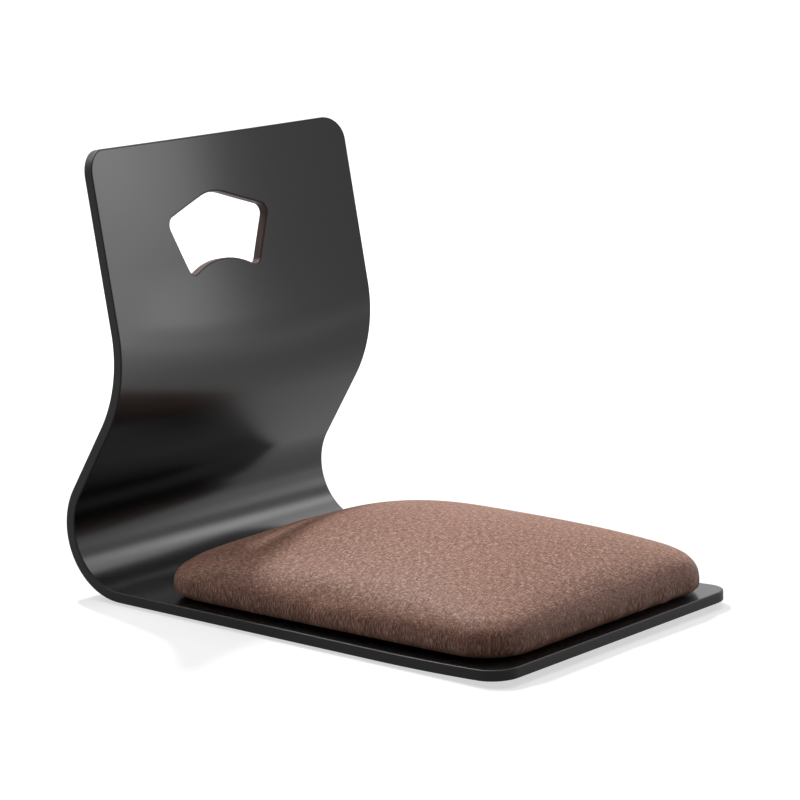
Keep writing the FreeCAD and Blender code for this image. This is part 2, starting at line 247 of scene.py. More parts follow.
def into_sheet(loop, solid_inside):
    """For each point of a loop, the flat direction that points into the wood."""
    points = np.array(loop)
    along = np.roll(points, -1, axis=0) - np.roll(points, 1, axis=0)
    along /= np.linalg.norm(along, axis=1)[:, None]
    inward = np.column_stack([-along[:, 1], along[:, 0]])
    x, y = points[:, 0], points[:, 1]
    area = np.sum(x * np.roll(y, -1) - np.roll(x, -1) * y)
    return inward if (area > 0) == solid_inside else -inward


def inside(points, loop):
    """Which flat points lie inside a loop."""
    result = np.zeros(len(points), bool)
    for (x0, y0), (x1, y1) in zip(loop, loop[1:] + loop[:1]):
        if y0 == y1:
            continue
        crosses = (points[:, 1] > y0) != (points[:, 1] > y1)
        where = (x1 - x0) * (points[:, 1] - y0) / (y1 - y0) + x0
        result ^= crosses & (points[:, 0] < where)
    return result


POINTS_AT_A_TIME = 2000
BORDER_CLEARANCE = 0.6
CUT_TOLERANCE = 1e-7


def distance_to(points, loop):
    """How far flat points lie from a densely divided loop."""
    ring = np.array(loop)
    nearest = np.full(len(points), np.inf)
    for start in range(0, len(points), POINTS_AT_A_TIME):
        part = slice(start, start + POINTS_AT_A_TIME)
        gaps = np.linalg.norm(points[part][:, None, :] - ring[None, :, :], axis=2)
        nearest[part] = gaps.min(axis=1)
    return nearest


class SheetMesh:
    """Collects the vertices and faces of a sheet, with a flat place for each corner.
    point_at tells where a flat place and a depth lie in the room."""

    def __init__(self, point_at):
        self.point_at = point_at
        self.points = []
        self.faces = []
        self.places = []
        self.slots = []

    def ring(self, loop, depth):
        """Adds the vertices of one loop at one depth and tells their numbers."""
        start = len(self.points)
        self.points += [self.point_at(x, run, depth) for x, run in loop]
        return list(range(start, len(self.points)))

    def band(self, first, second, along, depths, slot):
        """One row of faces between two rings."""
        upper, lower = depths
        count = len(first)
        for index in range(count):
            following = (index + 1) % count
            self.faces.append((first[index], first[following], second[following], second[index]))
            start, end = along[index], along[index + 1]
            self.places.append([(start, upper), (end, upper), (end, lower), (start, lower)])
            self.slots.append(slot)

    def wall(self, loops, depths, along, slot):
        """Rows of faces down through the sheet; tells the first and the last ring."""
        rings = [self.ring(loop, depth) for loop, depth in zip(loops, depths)]
        for row in range(len(rings) - 1):
            self.band(rings[row], rings[row + 1], along, depths[row:row + 2], slot)
        return rings[0], rings[-1]

    def cover(self, loops, rings, depth, along=FACE_STEP_ALONG, across=FACE_STEP_ACROSS):
        """Fills between the outer loop and the holes with an even net of triangles."""
        low = np.min(loops[0], axis=0)
        high = np.max(loops[0], axis=0)
        runs = np.arange(low[1] + along / 2, high[1], along)
        rows = np.arange(low[0] + across / 2, high[0], across)
        net = np.array([(x, run) for run in runs for x in rows])
        clear = BORDER_CLEARANCE * along
        keep = inside(net, loops[0]) & (distance_to(net, loops[0]) > clear)
        for loop in loops[1:]:
            keep &= ~inside(net, loop) & (distance_to(net, loop) > clear)
        net = [tuple(point) for point in net[keep]]
        flat = [point for loop in loops for point in loop] + net
        owners = [index for ring in rings for index in ring] + self.ring(net, depth)
        borders = []
        start = 0
        for loop in loops:
            borders += [(start + i, start + (i + 1) % len(loop)) for i in range(len(loop))]
            start += len(loop)
        result = delaunay_2d_cdt([Vector(point) for point in flat], borders, [], 0, CUT_TOLERANCE)
        kept, faces, sources = result[0], result[2], result[3]
        middles = np.array([sum((kept[i] for i in face), Vector((0, 0))) / 3 for face in faces])
        wood = inside(middles, loops[0])
        for loop in loops[1:]:
            wood &= ~inside(middles, loop)
        for face, is_wood in zip(faces, wood):
            if is_wood:
                self.faces.append(tuple(owners[sources[i][0]] for i in face))
                self.places.append([tuple(kept[i]) for i in face])
                self.slots.append(0)

    def piece(self, name):
        """The finished object, smooth, its faces turned outwards."""
        mesh = bpy.data.meshes.new(name)
        mesh.from_pydata(self.points, [], self.faces)
        layer = mesh.uv_layers.new(name="sheet")
        for polygon, places in zip(mesh.polygons, self.places):
            for corner, place in zip(polygon.loop_indices, places):
                layer.data[corner].uv = place
        mesh.polygons.foreach_set("material_index", self.slots)
        mesh.polygons.foreach_set("use_smooth", [True] * len(self.slots))
        tidy = bmesh.new()
        tidy.from_mesh(mesh)
        bmesh.ops.recalc_face_normals(tidy, faces=tidy.faces)
        tidy.to_mesh(mesh)
        tidy.free()
        return in_scene(name, mesh)


def shifted(loop, inward, distance):
    """The loop moved into the wood."""
    return [tuple(point) for point in np.array(loop) + inward * distance]


def loop_lengths(loop):
    """How far along the loop each of its points lies, and its whole length."""
    sizes = [math.dist(start, end) for start, end in zip(loop, loop[1:] + loop[:1])]
    return np.concatenate([[0], np.cumsum(sizes)])


def eased_profile():
    """Insets and depths down an eased edge: face, quarter round, wall, quarter round."""
    profile = [(ARRIS + EDGE_SUPPORT, 0.0)]
    for step in range(ARRIS_STEPS + 1):
        angle = math.pi / 2 * step / ARRIS_STEPS
        profile.append((ARRIS * (1 - math.sin(angle)), ARRIS * (1 - math.cos(angle))))
    profile.append((0.0, ARRIS + EDGE_SUPPORT))
    return profile + [(inset, PLY - depth) for inset, depth in reversed(profile)]


SCREW_HALF_SPACING = 0.110
SCREW_ROWS = (0.1065, 0.3485)
SCREW_HOLE_RADIUS = 0.0034
SCREW_HEAD_RADIUS = 0.0060
SCREW_HEAD_RECESS = 0.0009
BORE_ARC_STEP = math.radians(12)
SAWN_EDGE = 1
HOLE_EDGE = 2
screw_places = [(x, run) for run in SCREW_ROWS for x in (-SCREW_HALF_SPACING, SCREW_HALF_SPACING)]


def circle(centre, radius, step):
    """A closed round loop."""
    return arc(centre, radius, 0, 2 * math.pi, step)[:-1]


def build_shell():
    """The whole sheet: its eased edge, its hand hole, four countersunk holes and two faces."""
    made = SheetMesh(shell_point)
    walls = []
    for slot, loop, solid_inside in (
        (SAWN_EDGE, sheet_outline(), True),
        (HOLE_EDGE, hand_hole_outline(), False),
    ):
        inward = into_sheet(loop, solid_inside)
        profile = eased_profile()
        loops = [shifted(loop, inward, inset) for inset, depth in profile]
        walls.append((loops, [depth for inset, depth in profile], loop_lengths(loop), slot))
    taper = SCREW_HEAD_RADIUS - SCREW_HOLE_RADIUS
    head_depth = PLY - SCREW_HEAD_RECESS
    bore_radii = [SCREW_HOLE_RADIUS, SCREW_HOLE_RADIUS, SCREW_HEAD_RADIUS, SCREW_HEAD_RADIUS]
    bore_depths = [0.0, head_depth - taper, head_depth, PLY]
    for place in screw_places:
        loops = [circle(place, radius, BORE_ARC_STEP) for radius in bore_radii]
        walls.append((loops, bore_depths, loop_lengths(loops[0]), SAWN_EDGE))
    ends = [made.wall(loops, depths, along, slot) for loops, depths, along, slot in walls]
    made.cover([wall[0][0] for wall in walls], [first for first, last in ends], 0.0)
    made.cover([wall[0][-1] for wall in walls], [last for first, last in ends], PLY)
    return made.piece("plywood_shell")


class Wire:
    """A socket in a material. Arithmetic on it adds Math nodes."""

    def __init__(self, shader, socket):
        self.shader = shader
        self.socket = socket

    def _math(self, operation, first, second):
        return self.shader.add("ShaderNodeMath", {"operation": operation}, {0: first, 1: second})

    def __add__(self, other):
        return self._math("ADD", self, other)

    def __radd__(self, other):
        return self._math("ADD", other, self)

    def __sub__(self, other):
        return self._math("SUBTRACT", self, other)

    def __rsub__(self, other):
        return self._math("SUBTRACT", other, self)

    def __mul__(self, other):
        return self._math("MULTIPLY", self, other)

    def __rmul__(self, other):
        return self._math("MULTIPLY", other, self)


class Shader:
    """One material, with a Principled surface and short calls for its other nodes."""

    def __init__(self, name, **surface):
        self.material = bpy.data.materials.new(name)
        self.material.use_nodes = True
        self.tree = self.material.node_tree
        self.surface = self.tree.nodes["Principled BSDF"]
        for socket, value in surface.items():
            self.surface.inputs[socket.replace("_", " ")].default_value = value

    def add(self, kind, settings=None, sockets=None, output=0):
        """A node of one type, with its settings first and then what feeds its sockets."""
        node = self.tree.nodes.new(kind)
        for name, value in (settings or {}).items():
            if name == "stops":
                self.set_stops(node.color_ramp, value)
            else:
                setattr(node, name, value)
        for name, value in (sockets or {}).items():
            self.feed(node.inputs[name], value)
        return Wire(self, node.outputs[output])

    def set_stops(self, ramp, stops):
        while len(ramp.elements) < len(stops):
            ramp.elements.new(1.0)
        for element, (position, color) in zip(ramp.elements, stops):
            element.position = position
            element.color = color

    def feed(self, socket, value):
        if isinstance(value, Wire):
            self.tree.links.new(value.socket, socket)
        else:
            socket.default_value = value

    def out(self, name, value):
        self.feed(self.surface.inputs[name], value)

    def object_place(self, scale=(1, 1, 1)):
        place = self.add("ShaderNodeTexCoord", output="Object")
        return self.add("ShaderNodeMapping", {}, {"Vector": place, "Scale": scale})

    def own_map(self, name, scale=(1, 1, 1)):
        place = self.add("ShaderNodeUVMap", {"uv_map": name})
        return self.add("ShaderNodeMapping", {}, {"Vector": place, "Scale": scale})

    def noise(self, place, scale, detail=2.0, roughness=0.5):
        sockets = {"Vector": place, "Scale": scale, "Detail": detail, "Roughness": roughness}
        return self.add("ShaderNodeTexNoise", {}, sockets)

    def spread(self, value, low, high, at_low=0.0, at_high=1.0):
        """A value stretched from one range to another and held at the ends."""
        sockets = {"Value": value, 1: low, 2: high, 3: at_low, 4: at_high}
        return self.add("ShaderNodeMapRange", {}, sockets)

    def blend(self, share, first, second):
        return self.add("ShaderNodeMix", {"data_type": "RGBA"}, {0: share, 6: first, 7: second}, 2)

    def bump(self, height, strength, distance):
        sockets = {"Height": height, "Strength": strength, "Distance": distance}
        self.out("Normal", self.add("ShaderNodeBump", {}, sockets))


LACQUER_BLACK = (0.0025, 0.0025, 0.0028, 1)
LACQUER_WORN = (0.0045, 0.0044, 0.0048, 1)
EDGE_DARK = (0.0060, 0.0055, 0.0065, 1)
EDGE_LIGHT = (0.0150, 0.0135, 0.0155, 1)
HOLE_EDGE_DARK = (0.0200, 0.0085, 0.0065, 1)
HOLE_EDGE_LIGHT = (0.0520, 0.0230, 0.0170, 1)
LACQUER_GRAIN = (1400, 22, 1)
LACQUER_PEEL = 900
LACQUER_HAZE = 9
LACQUER_ROUGHNESS = 0.19
LACQUER_RELIEF = 0.00006
EDGE_PLIES = (9, 1500, 1)
EDGE_PORES = (160, 2600, 1)
EDGE_ROUGHNESS = 0.38
EDGE_RELIEF = 0.00012


def satin_black_lacquer():
    """Sprayed satin lacquer: faint orange peel, veneer grain just felt below, and hazier
    patches where hands have polished it."""
    paint = Shader("satin_black_lacquer", Specular_IOR_Level=0.45)
    grain = paint.noise(paint.own_map("sheet", LACQUER_GRAIN), 1.0, 4.0, 0.6)
    peel = paint.noise(paint.object_place(), LACQUER_PEEL, 1.0)
    haze = paint.noise(paint.object_place(), LACQUER_HAZE, 3.0)
    paint.out("Base Color", paint.blend(haze, LACQUER_BLACK, LACQUER_WORN))
    paint.out("Roughness", LACQUER_ROUGHNESS + 0.05 * haze + 0.02 * grain)
    paint.bump(grain * 0.5 + peel * 0.5, 0.12, LACQUER_RELIEF)
    return paint.material


def lacquered_edge(name, dark, light):
    """The sawn and sanded edge under the same lacquer: the glue lines still show as fine
    lines that run with the sheet."""
    paint = Shader(name, Specular_IOR_Level=0.22)
    plies = paint.noise(paint.own_map("sheet", EDGE_PLIES), 1.0, 2.0, 0.7)
    pores = paint.noise(paint.own_map("sheet", EDGE_PORES), 1.0, 3.0, 0.7)
    lines = paint.spread(plies * 0.65 + pores * 0.35, 0.38, 0.66)
    paint.out("Base Color", paint.blend(lines, dark, light))
    paint.out("Roughness", EDGE_ROUGHNESS + 0.12 * lines)
    paint.bump(lines, 0.35, EDGE_RELIEF)
    return paint.material


shell = build_shell()
shell.data.materials.append(satin_black_lacquer())
shell.data.materials.append(lacquered_edge("lacquered_ply_edge", EDGE_DARK, EDGE_LIGHT))
shell.data.materials.append(lacquered_edge("stained_hole_edge", HOLE_EDGE_DARK, HOLE_EDGE_LIGHT))
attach(shell, "root")
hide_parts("shell")


# The pad: foam on a thin board, wrapped in wadding and one piece of woven cloth that is
# pulled down round the edge and stapled underneath. Its front stands on the raised front
# of the seat, so the whole pad is tipped by less than a degree.
PAD_SIDE_MARGIN = 0.0112
PAD_FRONT = 0.0115
PAD_LENGTH = 0.432
PAD_REST_GAP = 0.0009
COVER_THICKNESS = 0.0015
WADDING_THICKNESS = 0.006
FOAM_SIDE_WALL = 0.008
FOAM_SHOULDER = 0.0144
FOAM_CROWN = 0.0495
FOAM_ROLL = 0.0086
REAR_ROLL_RATIO = 1.2
FOAM_EDGE = 0.0045
PAD_FRONT_CORNER = 0.049
PAD_REAR_CORNER = 0.042
FRONT_CORNER_GROWTH = 0.3
REAR_CORNER_GROWTH = 2.2
TUCK_RINGS = 7
ROLL_RINGS = 16
TOP_RINGS = 16
TOP_REACH = 0.95
CORNER_REACH = 0.98
POINTS_AROUND = 240
pad_rear = PAD_FRONT + PAD_LENGTH
pad_half_width = half_width - PAD_SIDE_MARGIN
pad_layers = WADDING_THICKNESS + COVER_THICKNESS
pad_edge_height = pad_layers + FOAM_EDGE


def pad_tip():
    """The small turn and lift that stand the pad on the seat."""
    contact = PAD_FRONT + pad_edge_height
    pivot = pad_rear - pad_edge_height
    raised = lift_radius - math.sqrt(lift_radius**2 - (FRONT_LIFT_RUN - contact) ** 2)
    angle = math.atan2(raised, pivot - contact)
    hinge = Matrix.Translation((0, pivot, 0))
    lift = Matrix.Translation(shell_origin + Vector((0, 0, PLY + PAD_REST_GAP)))
    return lift @ hinge @ Matrix.Rotation(-angle, 4, "X") @ hinge.inverted()


pad_place = pad_tip()


def level_ring(inset, height, front_radius, rear_radius, setback, count):
    """One level outline of the pad: a rounded rectangle, evenly divided."""
    x = pad_half_width - inset
    front = PAD_FRONT + inset
    rear = pad_rear - inset - setback
    loop = rounded_rectangle(x, front, rear, front_radius, rear_radius)
    points = np.array(loop + loop[:1])
    lengths = np.concatenate([[0], np.cumsum(np.linalg.norm(np.diff(points, axis=0), axis=1))])
    stations = np.linspace(0, lengths[-1], count, endpoint=False)
    xs = np.interp(stations, lengths, points[:, 0])
    ys = np.interp(stations, lengths, points[:, 1])
    return [Vector((a, b, height)) for a, b in zip(xs, ys)]


def crown_mesh(name, grow, foam_crown=FOAM_CROWN, around=POINTS_AROUND):
    """The pad's form with a thickness grown on the foam, as a closed mesh."""
    base = pad_layers - grow
    widest = pad_half_width - base
    tuck = FOAM_EDGE + grow
    roll = FOAM_ROLL + grow
    rise = FOAM_SHOULDER + grow
    front_corner = PAD_FRONT_CORNER - base
    rear_corner = PAD_REAR_CORNER - base
    points, faces = [], []
    for angle in np.radians(np.linspace(-90, 0, TUCK_RINGS)):
        inset = tuck * (1 - math.cos(angle))
        height = pad_edge_height + tuck * math.sin(angle)
        points += level_ring(base + inset, height, front_corner, rear_corner, 0.0, around)
    insets = [roll * (1 - math.cos(angle)) for angle in np.radians(np.linspace(0, 90, ROLL_RINGS))]
    insets += list(np.linspace(roll, TOP_REACH * widest, TOP_RINGS)[1:])
    for inset in insets:
        rolled = min(inset / roll, 1.0)
        shoulder = FOAM_SIDE_WALL + (rise - FOAM_SIDE_WALL) * math.sqrt(1 - (1 - rolled) ** 2)
        crown = foam_crown * (1 - (1 - inset / widest) ** 2)
        limit = CORNER_REACH * (widest - inset)
        front_radius = min(front_corner + FRONT_CORNER_GROWTH * inset, limit)
        rear_radius = min(rear_corner + REAR_CORNER_GROWTH * inset, limit)
        setback = (REAR_ROLL_RATIO - 1) * rolled * roll
        height = pad_edge_height + shoulder + crown
        points += level_ring(base + inset, height, front_radius, rear_radius, setback, around)
    rows = len(points) // around
    for row in range(rows - 1):
        for index in range(around):
            following = (index + 1) % around
            low, high = row * around, (row + 1) * around
            faces.append((low + index, low + following, high + following, high + index))
    faces.append(tuple(reversed(range(around))))
    faces.append(tuple(range(len(points) - around, len(points))))
    mesh = bpy.data.meshes.new(name)
    mesh.from_pydata(points, [], faces)
    return in_scene(name, mesh)


def with_modifiers(piece):
    """The piece's mesh as its modifiers leave it; the modifiers are then taken off."""
    bpy.context.view_layer.update()
    ready = piece.evaluated_get(bpy.context.evaluated_depsgraph_get())
    mesh = bpy.data.meshes.new_from_object(ready)
    piece.modifiers.clear()
    old = piece.data
    piece.data = mesh
    bpy.data.meshes.remove(old)


VOXEL = 0.006
SWELL = 0.002
PRESSURE = 0.4
SWELL_LIMIT = 0.003
SIMULATED_FRAMES = 20
HEM_INSET = 0.047
HEM_POINTS = 200
TINY = 1e-9


def swollen_cover():
    """The cloth cover, drawn a little flat and swollen from inside until it is tight. Its
    underside is held, as the staples and the board hold it."""
    crown = FOAM_CROWN - SWELL
    cover = crown_mesh("seat_cover_cloth", pad_layers, crown)
    remesh = cover.modifiers.new("even", "REMESH")
    remesh.mode = "VOXEL"
    remesh.voxel_size = VOXEL
    with_modifiers(cover)
    before = np.array([v.co for v in cover.data.vertices])
    held = cover.vertex_groups.new(name="held")
    underside = np.where(before[:, 2] < COVER_THICKNESS)[0]
    held.add([int(index) for index in underside], 1.0, "REPLACE")
    cloth = cover.modifiers.new("cloth", "CLOTH")
    cloth.settings.use_pressure = True
    cloth.settings.uniform_pressure_force = PRESSURE
    cloth.settings.effector_weights.gravity = 0
    cloth.settings.vertex_group_mass = held.name
    cloth.collision_settings.use_collision = False
    scene = bpy.context.scene
    for number in range(1, SIMULATED_FRAMES + 1):
        scene.frame_set(number)
    with_modifiers(cover)
    scene.frame_set(1)
    after = np.array([v.co for v in cover.data.vertices])
    lengths = np.linalg.norm(after - before, axis=1)[:, None]
    share = np.minimum(1.0, SWELL_LIMIT / np.maximum(lengths, TINY))
    set_points(cover, before + (after - before) * share)
    return cover


def set_points(piece, points):
    """Moves the piece's vertices to the places given."""
    piece.data.vertices.foreach_set("co", np.asarray(points, dtype=np.float32).ravel())
    piece.data.update()


def ramp(values, low, high):
    """An even rise from 0 to 1 with soft ends."""
    share = np.clip((values - low) / (high - low), 0, 1)
    return share * share * (3 - 2 * share)


PUCKER = 0.0007
PUCKER_SPACINGS = (0.046, 0.027, 0.019)
PUCKER_DRIFT = 2.1
PUCKER_DRIFT_LENGTH = 3.7
PUCKER_OFFSET = 4.0
PUCKER_FADE = 1.2
PUCKER_DROP = 0.8
PUCKER_FOOT = (0.0015, 0.006)
PUCKER_TOP = (0.010, 0.030)
SIDE_BAND = 0.03
FRONT_SAG = 0.0036
SAG_REACH = (0.02, 0.20)
SAG_FOOT = (0.001, 0.010)
SAG_TOP = (0.012, 0.040)


def with_puckers(points):
    """Small folds where the cloth is pulled under the edge, and a front right corner that
    sits lower than the left one."""
    x, y, z = points.T
    middle = (PAD_FRONT + pad_rear) / 2
    angle = np.arctan2(y - middle, x)
    outward = np.column_stack([np.cos(angle), np.sin(angle)])
    run = np.where(np.abs(x) > pad_half_width - SIDE_BAND, y, x)
    wave = np.zeros(len(points))
    for number, spacing in enumerate(PUCKER_SPACINGS):
        drift = PUCKER_DRIFT * np.sin(run / (PUCKER_DRIFT_LENGTH * spacing) + number)
        drift += PUCKER_OFFSET * number
        wave += np.sin(2 * math.pi * run / spacing + drift) / (number + PUCKER_FADE)
    at_edge = ramp(z, *PUCKER_FOOT) * (1 - ramp(z, *PUCKER_TOP))
    points = points.copy()
    points[:, :2] += outward * (PUCKER * wave * at_edge)[:, None]
    points[:, 2] -= PUCKER_DROP * PUCKER * wave * at_edge
    to_corner = np.hypot(x - pad_half_width, y - PAD_FRONT)
    near = 1 - ramp(to_corner, *SAG_REACH)
    points[:, 2] -= FRONT_SAG * near * ramp(z, *SAG_FOOT) * (1 - ramp(z, *SAG_TOP))
    return points


cover = swollen_cover()
smooth = cover.modifiers.new("smooth", "SUBSURF")
smooth.levels = 1
smooth.render_levels = 1
with_modifiers(cover)
flat_points = with_puckers(np.array([v.co for v in cover.data.vertices]))
set_points(cover, flat_points)


PULL_DROP = (0.008, 0.026)


def cloth_map(piece, points):
    """Where each point lies on the cut cloth: its plan, with what has gone down the sides
    added outwards. A second layer tells how far each side's threads are pulled straight."""
    x, y, z = points.T
    middle = (PAD_FRONT + pad_rear) / 2
    flat_half = pad_half_width - FOAM_ROLL
    flat_depth = PAD_LENGTH / 2 - FOAM_ROLL
    over_x = np.maximum(np.abs(x) - flat_half, 0)
    over_y = np.maximum(np.abs(y - middle) - flat_depth, 0)
    over = np.hypot(over_x, over_y) + TINY
    drop = np.maximum(pad_edge_height + FOAM_SHOULDER + pad_layers - z, 0)
    u = x + np.sign(x) * drop * over_x / over
    v = y + np.sign(y - middle) * drop * over_y / over
    steep = ramp(drop, *PULL_DROP)
    pull_u = steep * (over_x / over) ** 2
    pull_v = steep * (over_y / over) ** 2
    corners = np.empty(len(piece.data.loops), dtype=np.int32)
    piece.data.loops.foreach_get("vertex_index", corners)
    for name, first, second in (("cloth", u, v), ("pull", pull_u, pull_v)):
        layer = piece.data.uv_layers.new(name=name)
        places = np.column_stack([first, second])[corners]
        layer.data.foreach_set("uv", places.astype(np.float32).ravel())


cloth_map(cover, flat_points)


def open_underside(piece, points):
    """Takes out the cover's middle underside, inside its hem."""
    window = [(point.x, point.y) for point in level_ring(
        HEM_INSET, 0.0, PAD_FRONT_CORNER, PAD_REAR_CORNER, 0.0, HEM_POINTS)]
    gone = inside(points[:, :2], window) & (points[:, 2] < 2 * COVER_THICKNESS)
    cut = bmesh.new()
    cut.from_mesh(piece.data)
    cut.verts.ensure_lookup_table()
    doomed = [cut.verts[int(index)] for index in np.where(gone)[0]]
    bmesh.ops.delete(cut, geom=doomed, context="VERTS")
    cut.to_mesh(piece.data)
    cut.free()


open_underside(cover, flat_points)
cover.data.transform(pad_place)
cover.data.polygons.foreach_set("use_smooth", [True] * len(cover.data.polygons))

YARN = 0.0011
YARN_CHANGE = 0.16
YARN_SPECK = 0.75
PULL_SHARE = 0.3
WEAVE_RELIEF = 0.0005
YARN_DARK = (0.046, 0.015, 0.009, 1)
YARN_BROWN = (0.142, 0.060, 0.039, 1)
YARN_TAN = (0.275, 0.142, 0.101, 1)
YARN_PALE = (0.560, 0.385, 0.310, 1)


def heathered_weave():
    """Plain weave of mixed yarns: brown threads with tan and pale ones, each thread
    changing shade along its length. Each crossing shows either set of threads."""
    weave = Shader("heathered_brown_weave", Roughness=0.62, Specular_IOR_Level=0.28)
    place = weave.add("ShaderNodeUVMap", {"uv_map": "cloth"})
    pull = weave.add("ShaderNodeUVMap", {"uv_map": "pull"})
    pull_u = weave.add("ShaderNodeSeparateXYZ", {}, {0: pull})
    pull_v = Wire(weave, pull_u.socket.node.outputs[1])
    along_v = weave.noise(weave.own_map("cloth", (1 / YARN, YARN_CHANGE / YARN, 1)), 1.0, 2.0, 0.6)
    along_u = weave.noise(weave.own_map("cloth", (YARN_CHANGE / YARN, 1 / YARN, 1)), 1.0, 2.0, 0.6)
    speck = weave.noise(place, YARN_SPECK / YARN, 1.0)
    chance = weave.spread(speck + PULL_SHARE * (pull_v - pull_u), 0.44, 0.56)
    shade = weave.add("ShaderNodeMix", {"data_type": "FLOAT"}, {0: chance, 2: along_u, 3: along_v})
    color = weave.add("ShaderNodeValToRGB", {"stops": [
        (0.33, YARN_DARK), (0.45, YARN_BROWN), (0.55, YARN_TAN), (0.70, YARN_PALE)]}, {"Fac": shade})
    weave.out("Base Color", color)
    weave.bump(shade + 0.4 * speck, 0.6, WEAVE_RELIEF)
    return weave.material


cover.data.materials.append(heathered_weave())
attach(cover, "root")
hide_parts("seat_cover")


# What fills the cover: a block of cut foam on the board, and a layer of white polyester
# wadding over it. Both lie just inside the cloth and show only when the cover is off.
HIDDEN_GAP = 0.0025
FOAM_CREAM = (0.78, 0.70, 0.46, 1)
FOAM_PORE = (0.50, 0.42, 0.24, 1)
WADDING_WHITE = (0.80, 0.80, 0.77, 1)
WADDING_SHADE = (0.62, 0.62, 0.59, 1)
FOAM_CELLS = 900
FOAM_RELIEF = 0.0006
WADDING_WISPS = 160
WADDING_RELIEF = 0.0015


def open_cell_foam():
    """Cut foam: rounded pores that show darker than the walls between them."""
    foam = Shader("cut_cream_foam", Roughness=0.95, Specular_IOR_Level=0.15)
    place = foam.object_place()
    cells = foam.add("ShaderNodeTexVoronoi", {"feature": "F1"}, {"Vector": place, "Scale": FOAM_CELLS})
    foam.out("Base Color", foam.blend(cells * 1.2, FOAM_PORE, FOAM_CREAM))
    foam.bump(cells, 0.6, FOAM_RELIEF)
    return foam.material


def fluffy_wadding():
    """Loose white fibre in soft wisps."""
    fluff = Shader("white_polyester_wadding", Roughness=0.95, Specular_IOR_Level=0.1,
                   Sheen_Weight=0.3, Sheen_Roughness=0.6)
    wisps = fluff.noise(fluff.object_place(), WADDING_WISPS, 6.0, 0.7)
    fluff.out("Base Color", fluff.blend(wisps, WADDING_SHADE, WADDING_WHITE))
    fluff.bump(wisps, 0.7, WADDING_RELIEF)
    return fluff.material


for name, node, slot, grow, material in (
    ("foam_block", "foam_core", "polyurethane_foam", 0.0, open_cell_foam()),
    ("wadding_layer", "wadding", "polyester_wadding", WADDING_THICKNESS - HIDDEN_GAP, fluffy_wadding()),
):
    filling = crown_mesh(name, grow)
    filling.data.polygons.foreach_set("use_smooth", [True] * len(filling.data.polygons))
    filling.data.transform(pad_place)
    filling.data.materials.append(material)
    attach(filling, "root")
    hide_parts(node)


# The dust cover: thin black nonwoven, stapled over the cover's hem, with four openings
# for the screws.
DUST_INSET = 0.025
DUST_DROP = 0.0003
DUST_POINTS = 260
DUST_STEP = 0.012
SCREW_OPENING = 0.004
OPENING_ARC_STEP = math.radians(20)
NONWOVEN_BLACK = (0.010, 0.010, 0.011, 1)
NONWOVEN_GREY = (0.035, 0.035, 0.037, 1)
NONWOVEN_HAIRS = 900
NONWOVEN_DOTS = 500
NONWOVEN_RELIEF = 0.0003


def dust_point(x, y, depth):
    """A point of the cloth as it lies under the pad."""
    return pad_place @ Vector((x, y, -DUST_DROP - depth))


def dust_cover():
    """The cut cloth with its rounded corners and screw openings."""
    outline = [(point.x, point.y) for point in level_ring(
        DUST_INSET, 0.0, PAD_FRONT_CORNER, PAD_REAR_CORNER, 0.0, DUST_POINTS)]
    loops = [outline] + [circle(place, SCREW_OPENING, OPENING_ARC_STEP) for place in screw_places]
    made = SheetMesh(dust_point)
    made.cover(loops, [made.ring(loop, 0.0) for loop in loops], 0.0, DUST_STEP, DUST_STEP)
    return made.piece("dust_cover_cloth")


def nonwoven():
    """Pressed black fibre, bonded in rows of small dots."""
    fibre = Shader("black_nonwoven", Roughness=0.9, Specular_IOR_Level=0.2)
    place = fibre.own_map("sheet")
    hairs = fibre.noise(place, NONWOVEN_HAIRS, 3.0, 0.7)
    dots = fibre.add("ShaderNodeTexVoronoi", {"feature": "F1"},
                     {"Vector": place, "Scale": NONWOVEN_DOTS, "Randomness": 0.1})
    fibre.out("Base Color", fibre.blend(hairs, NONWOVEN_BLACK, NONWOVEN_GREY))
    fibre.bump(dots + 0.4 * hairs, 0.5, NONWOVEN_RELIEF)
    return fibre.material


# Each rounded corner takes its radius squared, times 1 - pi / 4, off the cut rectangle.
dust = dust_cover()
dust.data.materials.append(nonwoven())
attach(dust, "root")
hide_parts("dust_cover")


# Four felt glides, stuck under the seat: discs cut from grey needle felt, fuzzy and pressed
# a little rounder at the rim.
GLIDE_RADIUS = 0.015
GLIDE_ROUNDING = 0.0006
GLIDE_POINTS = 72
FELT_GREY = (0.100, 0.100, 0.102, 1)
FELT_PALE = (0.220, 0.220, 0.222, 1)
FELT_HAIRS = 1400
FELT_RELIEF = 0.0006


def needle_felt():
    """Dense grey felt with paler hairs."""
    felt = Shader("grey_needle_felt", Roughness=0.95, Specular_IOR_Level=0.1,
                  Sheen_Weight=0.25, Sheen_Roughness=0.6)
    hairs = felt.noise(felt.object_place(), FELT_HAIRS, 4.0, 0.75)
    felt.out("Base Color", felt.blend(hairs, FELT_GREY, FELT_PALE))
    felt.bump(hairs, 0.8, FELT_RELIEF)
    return felt.material


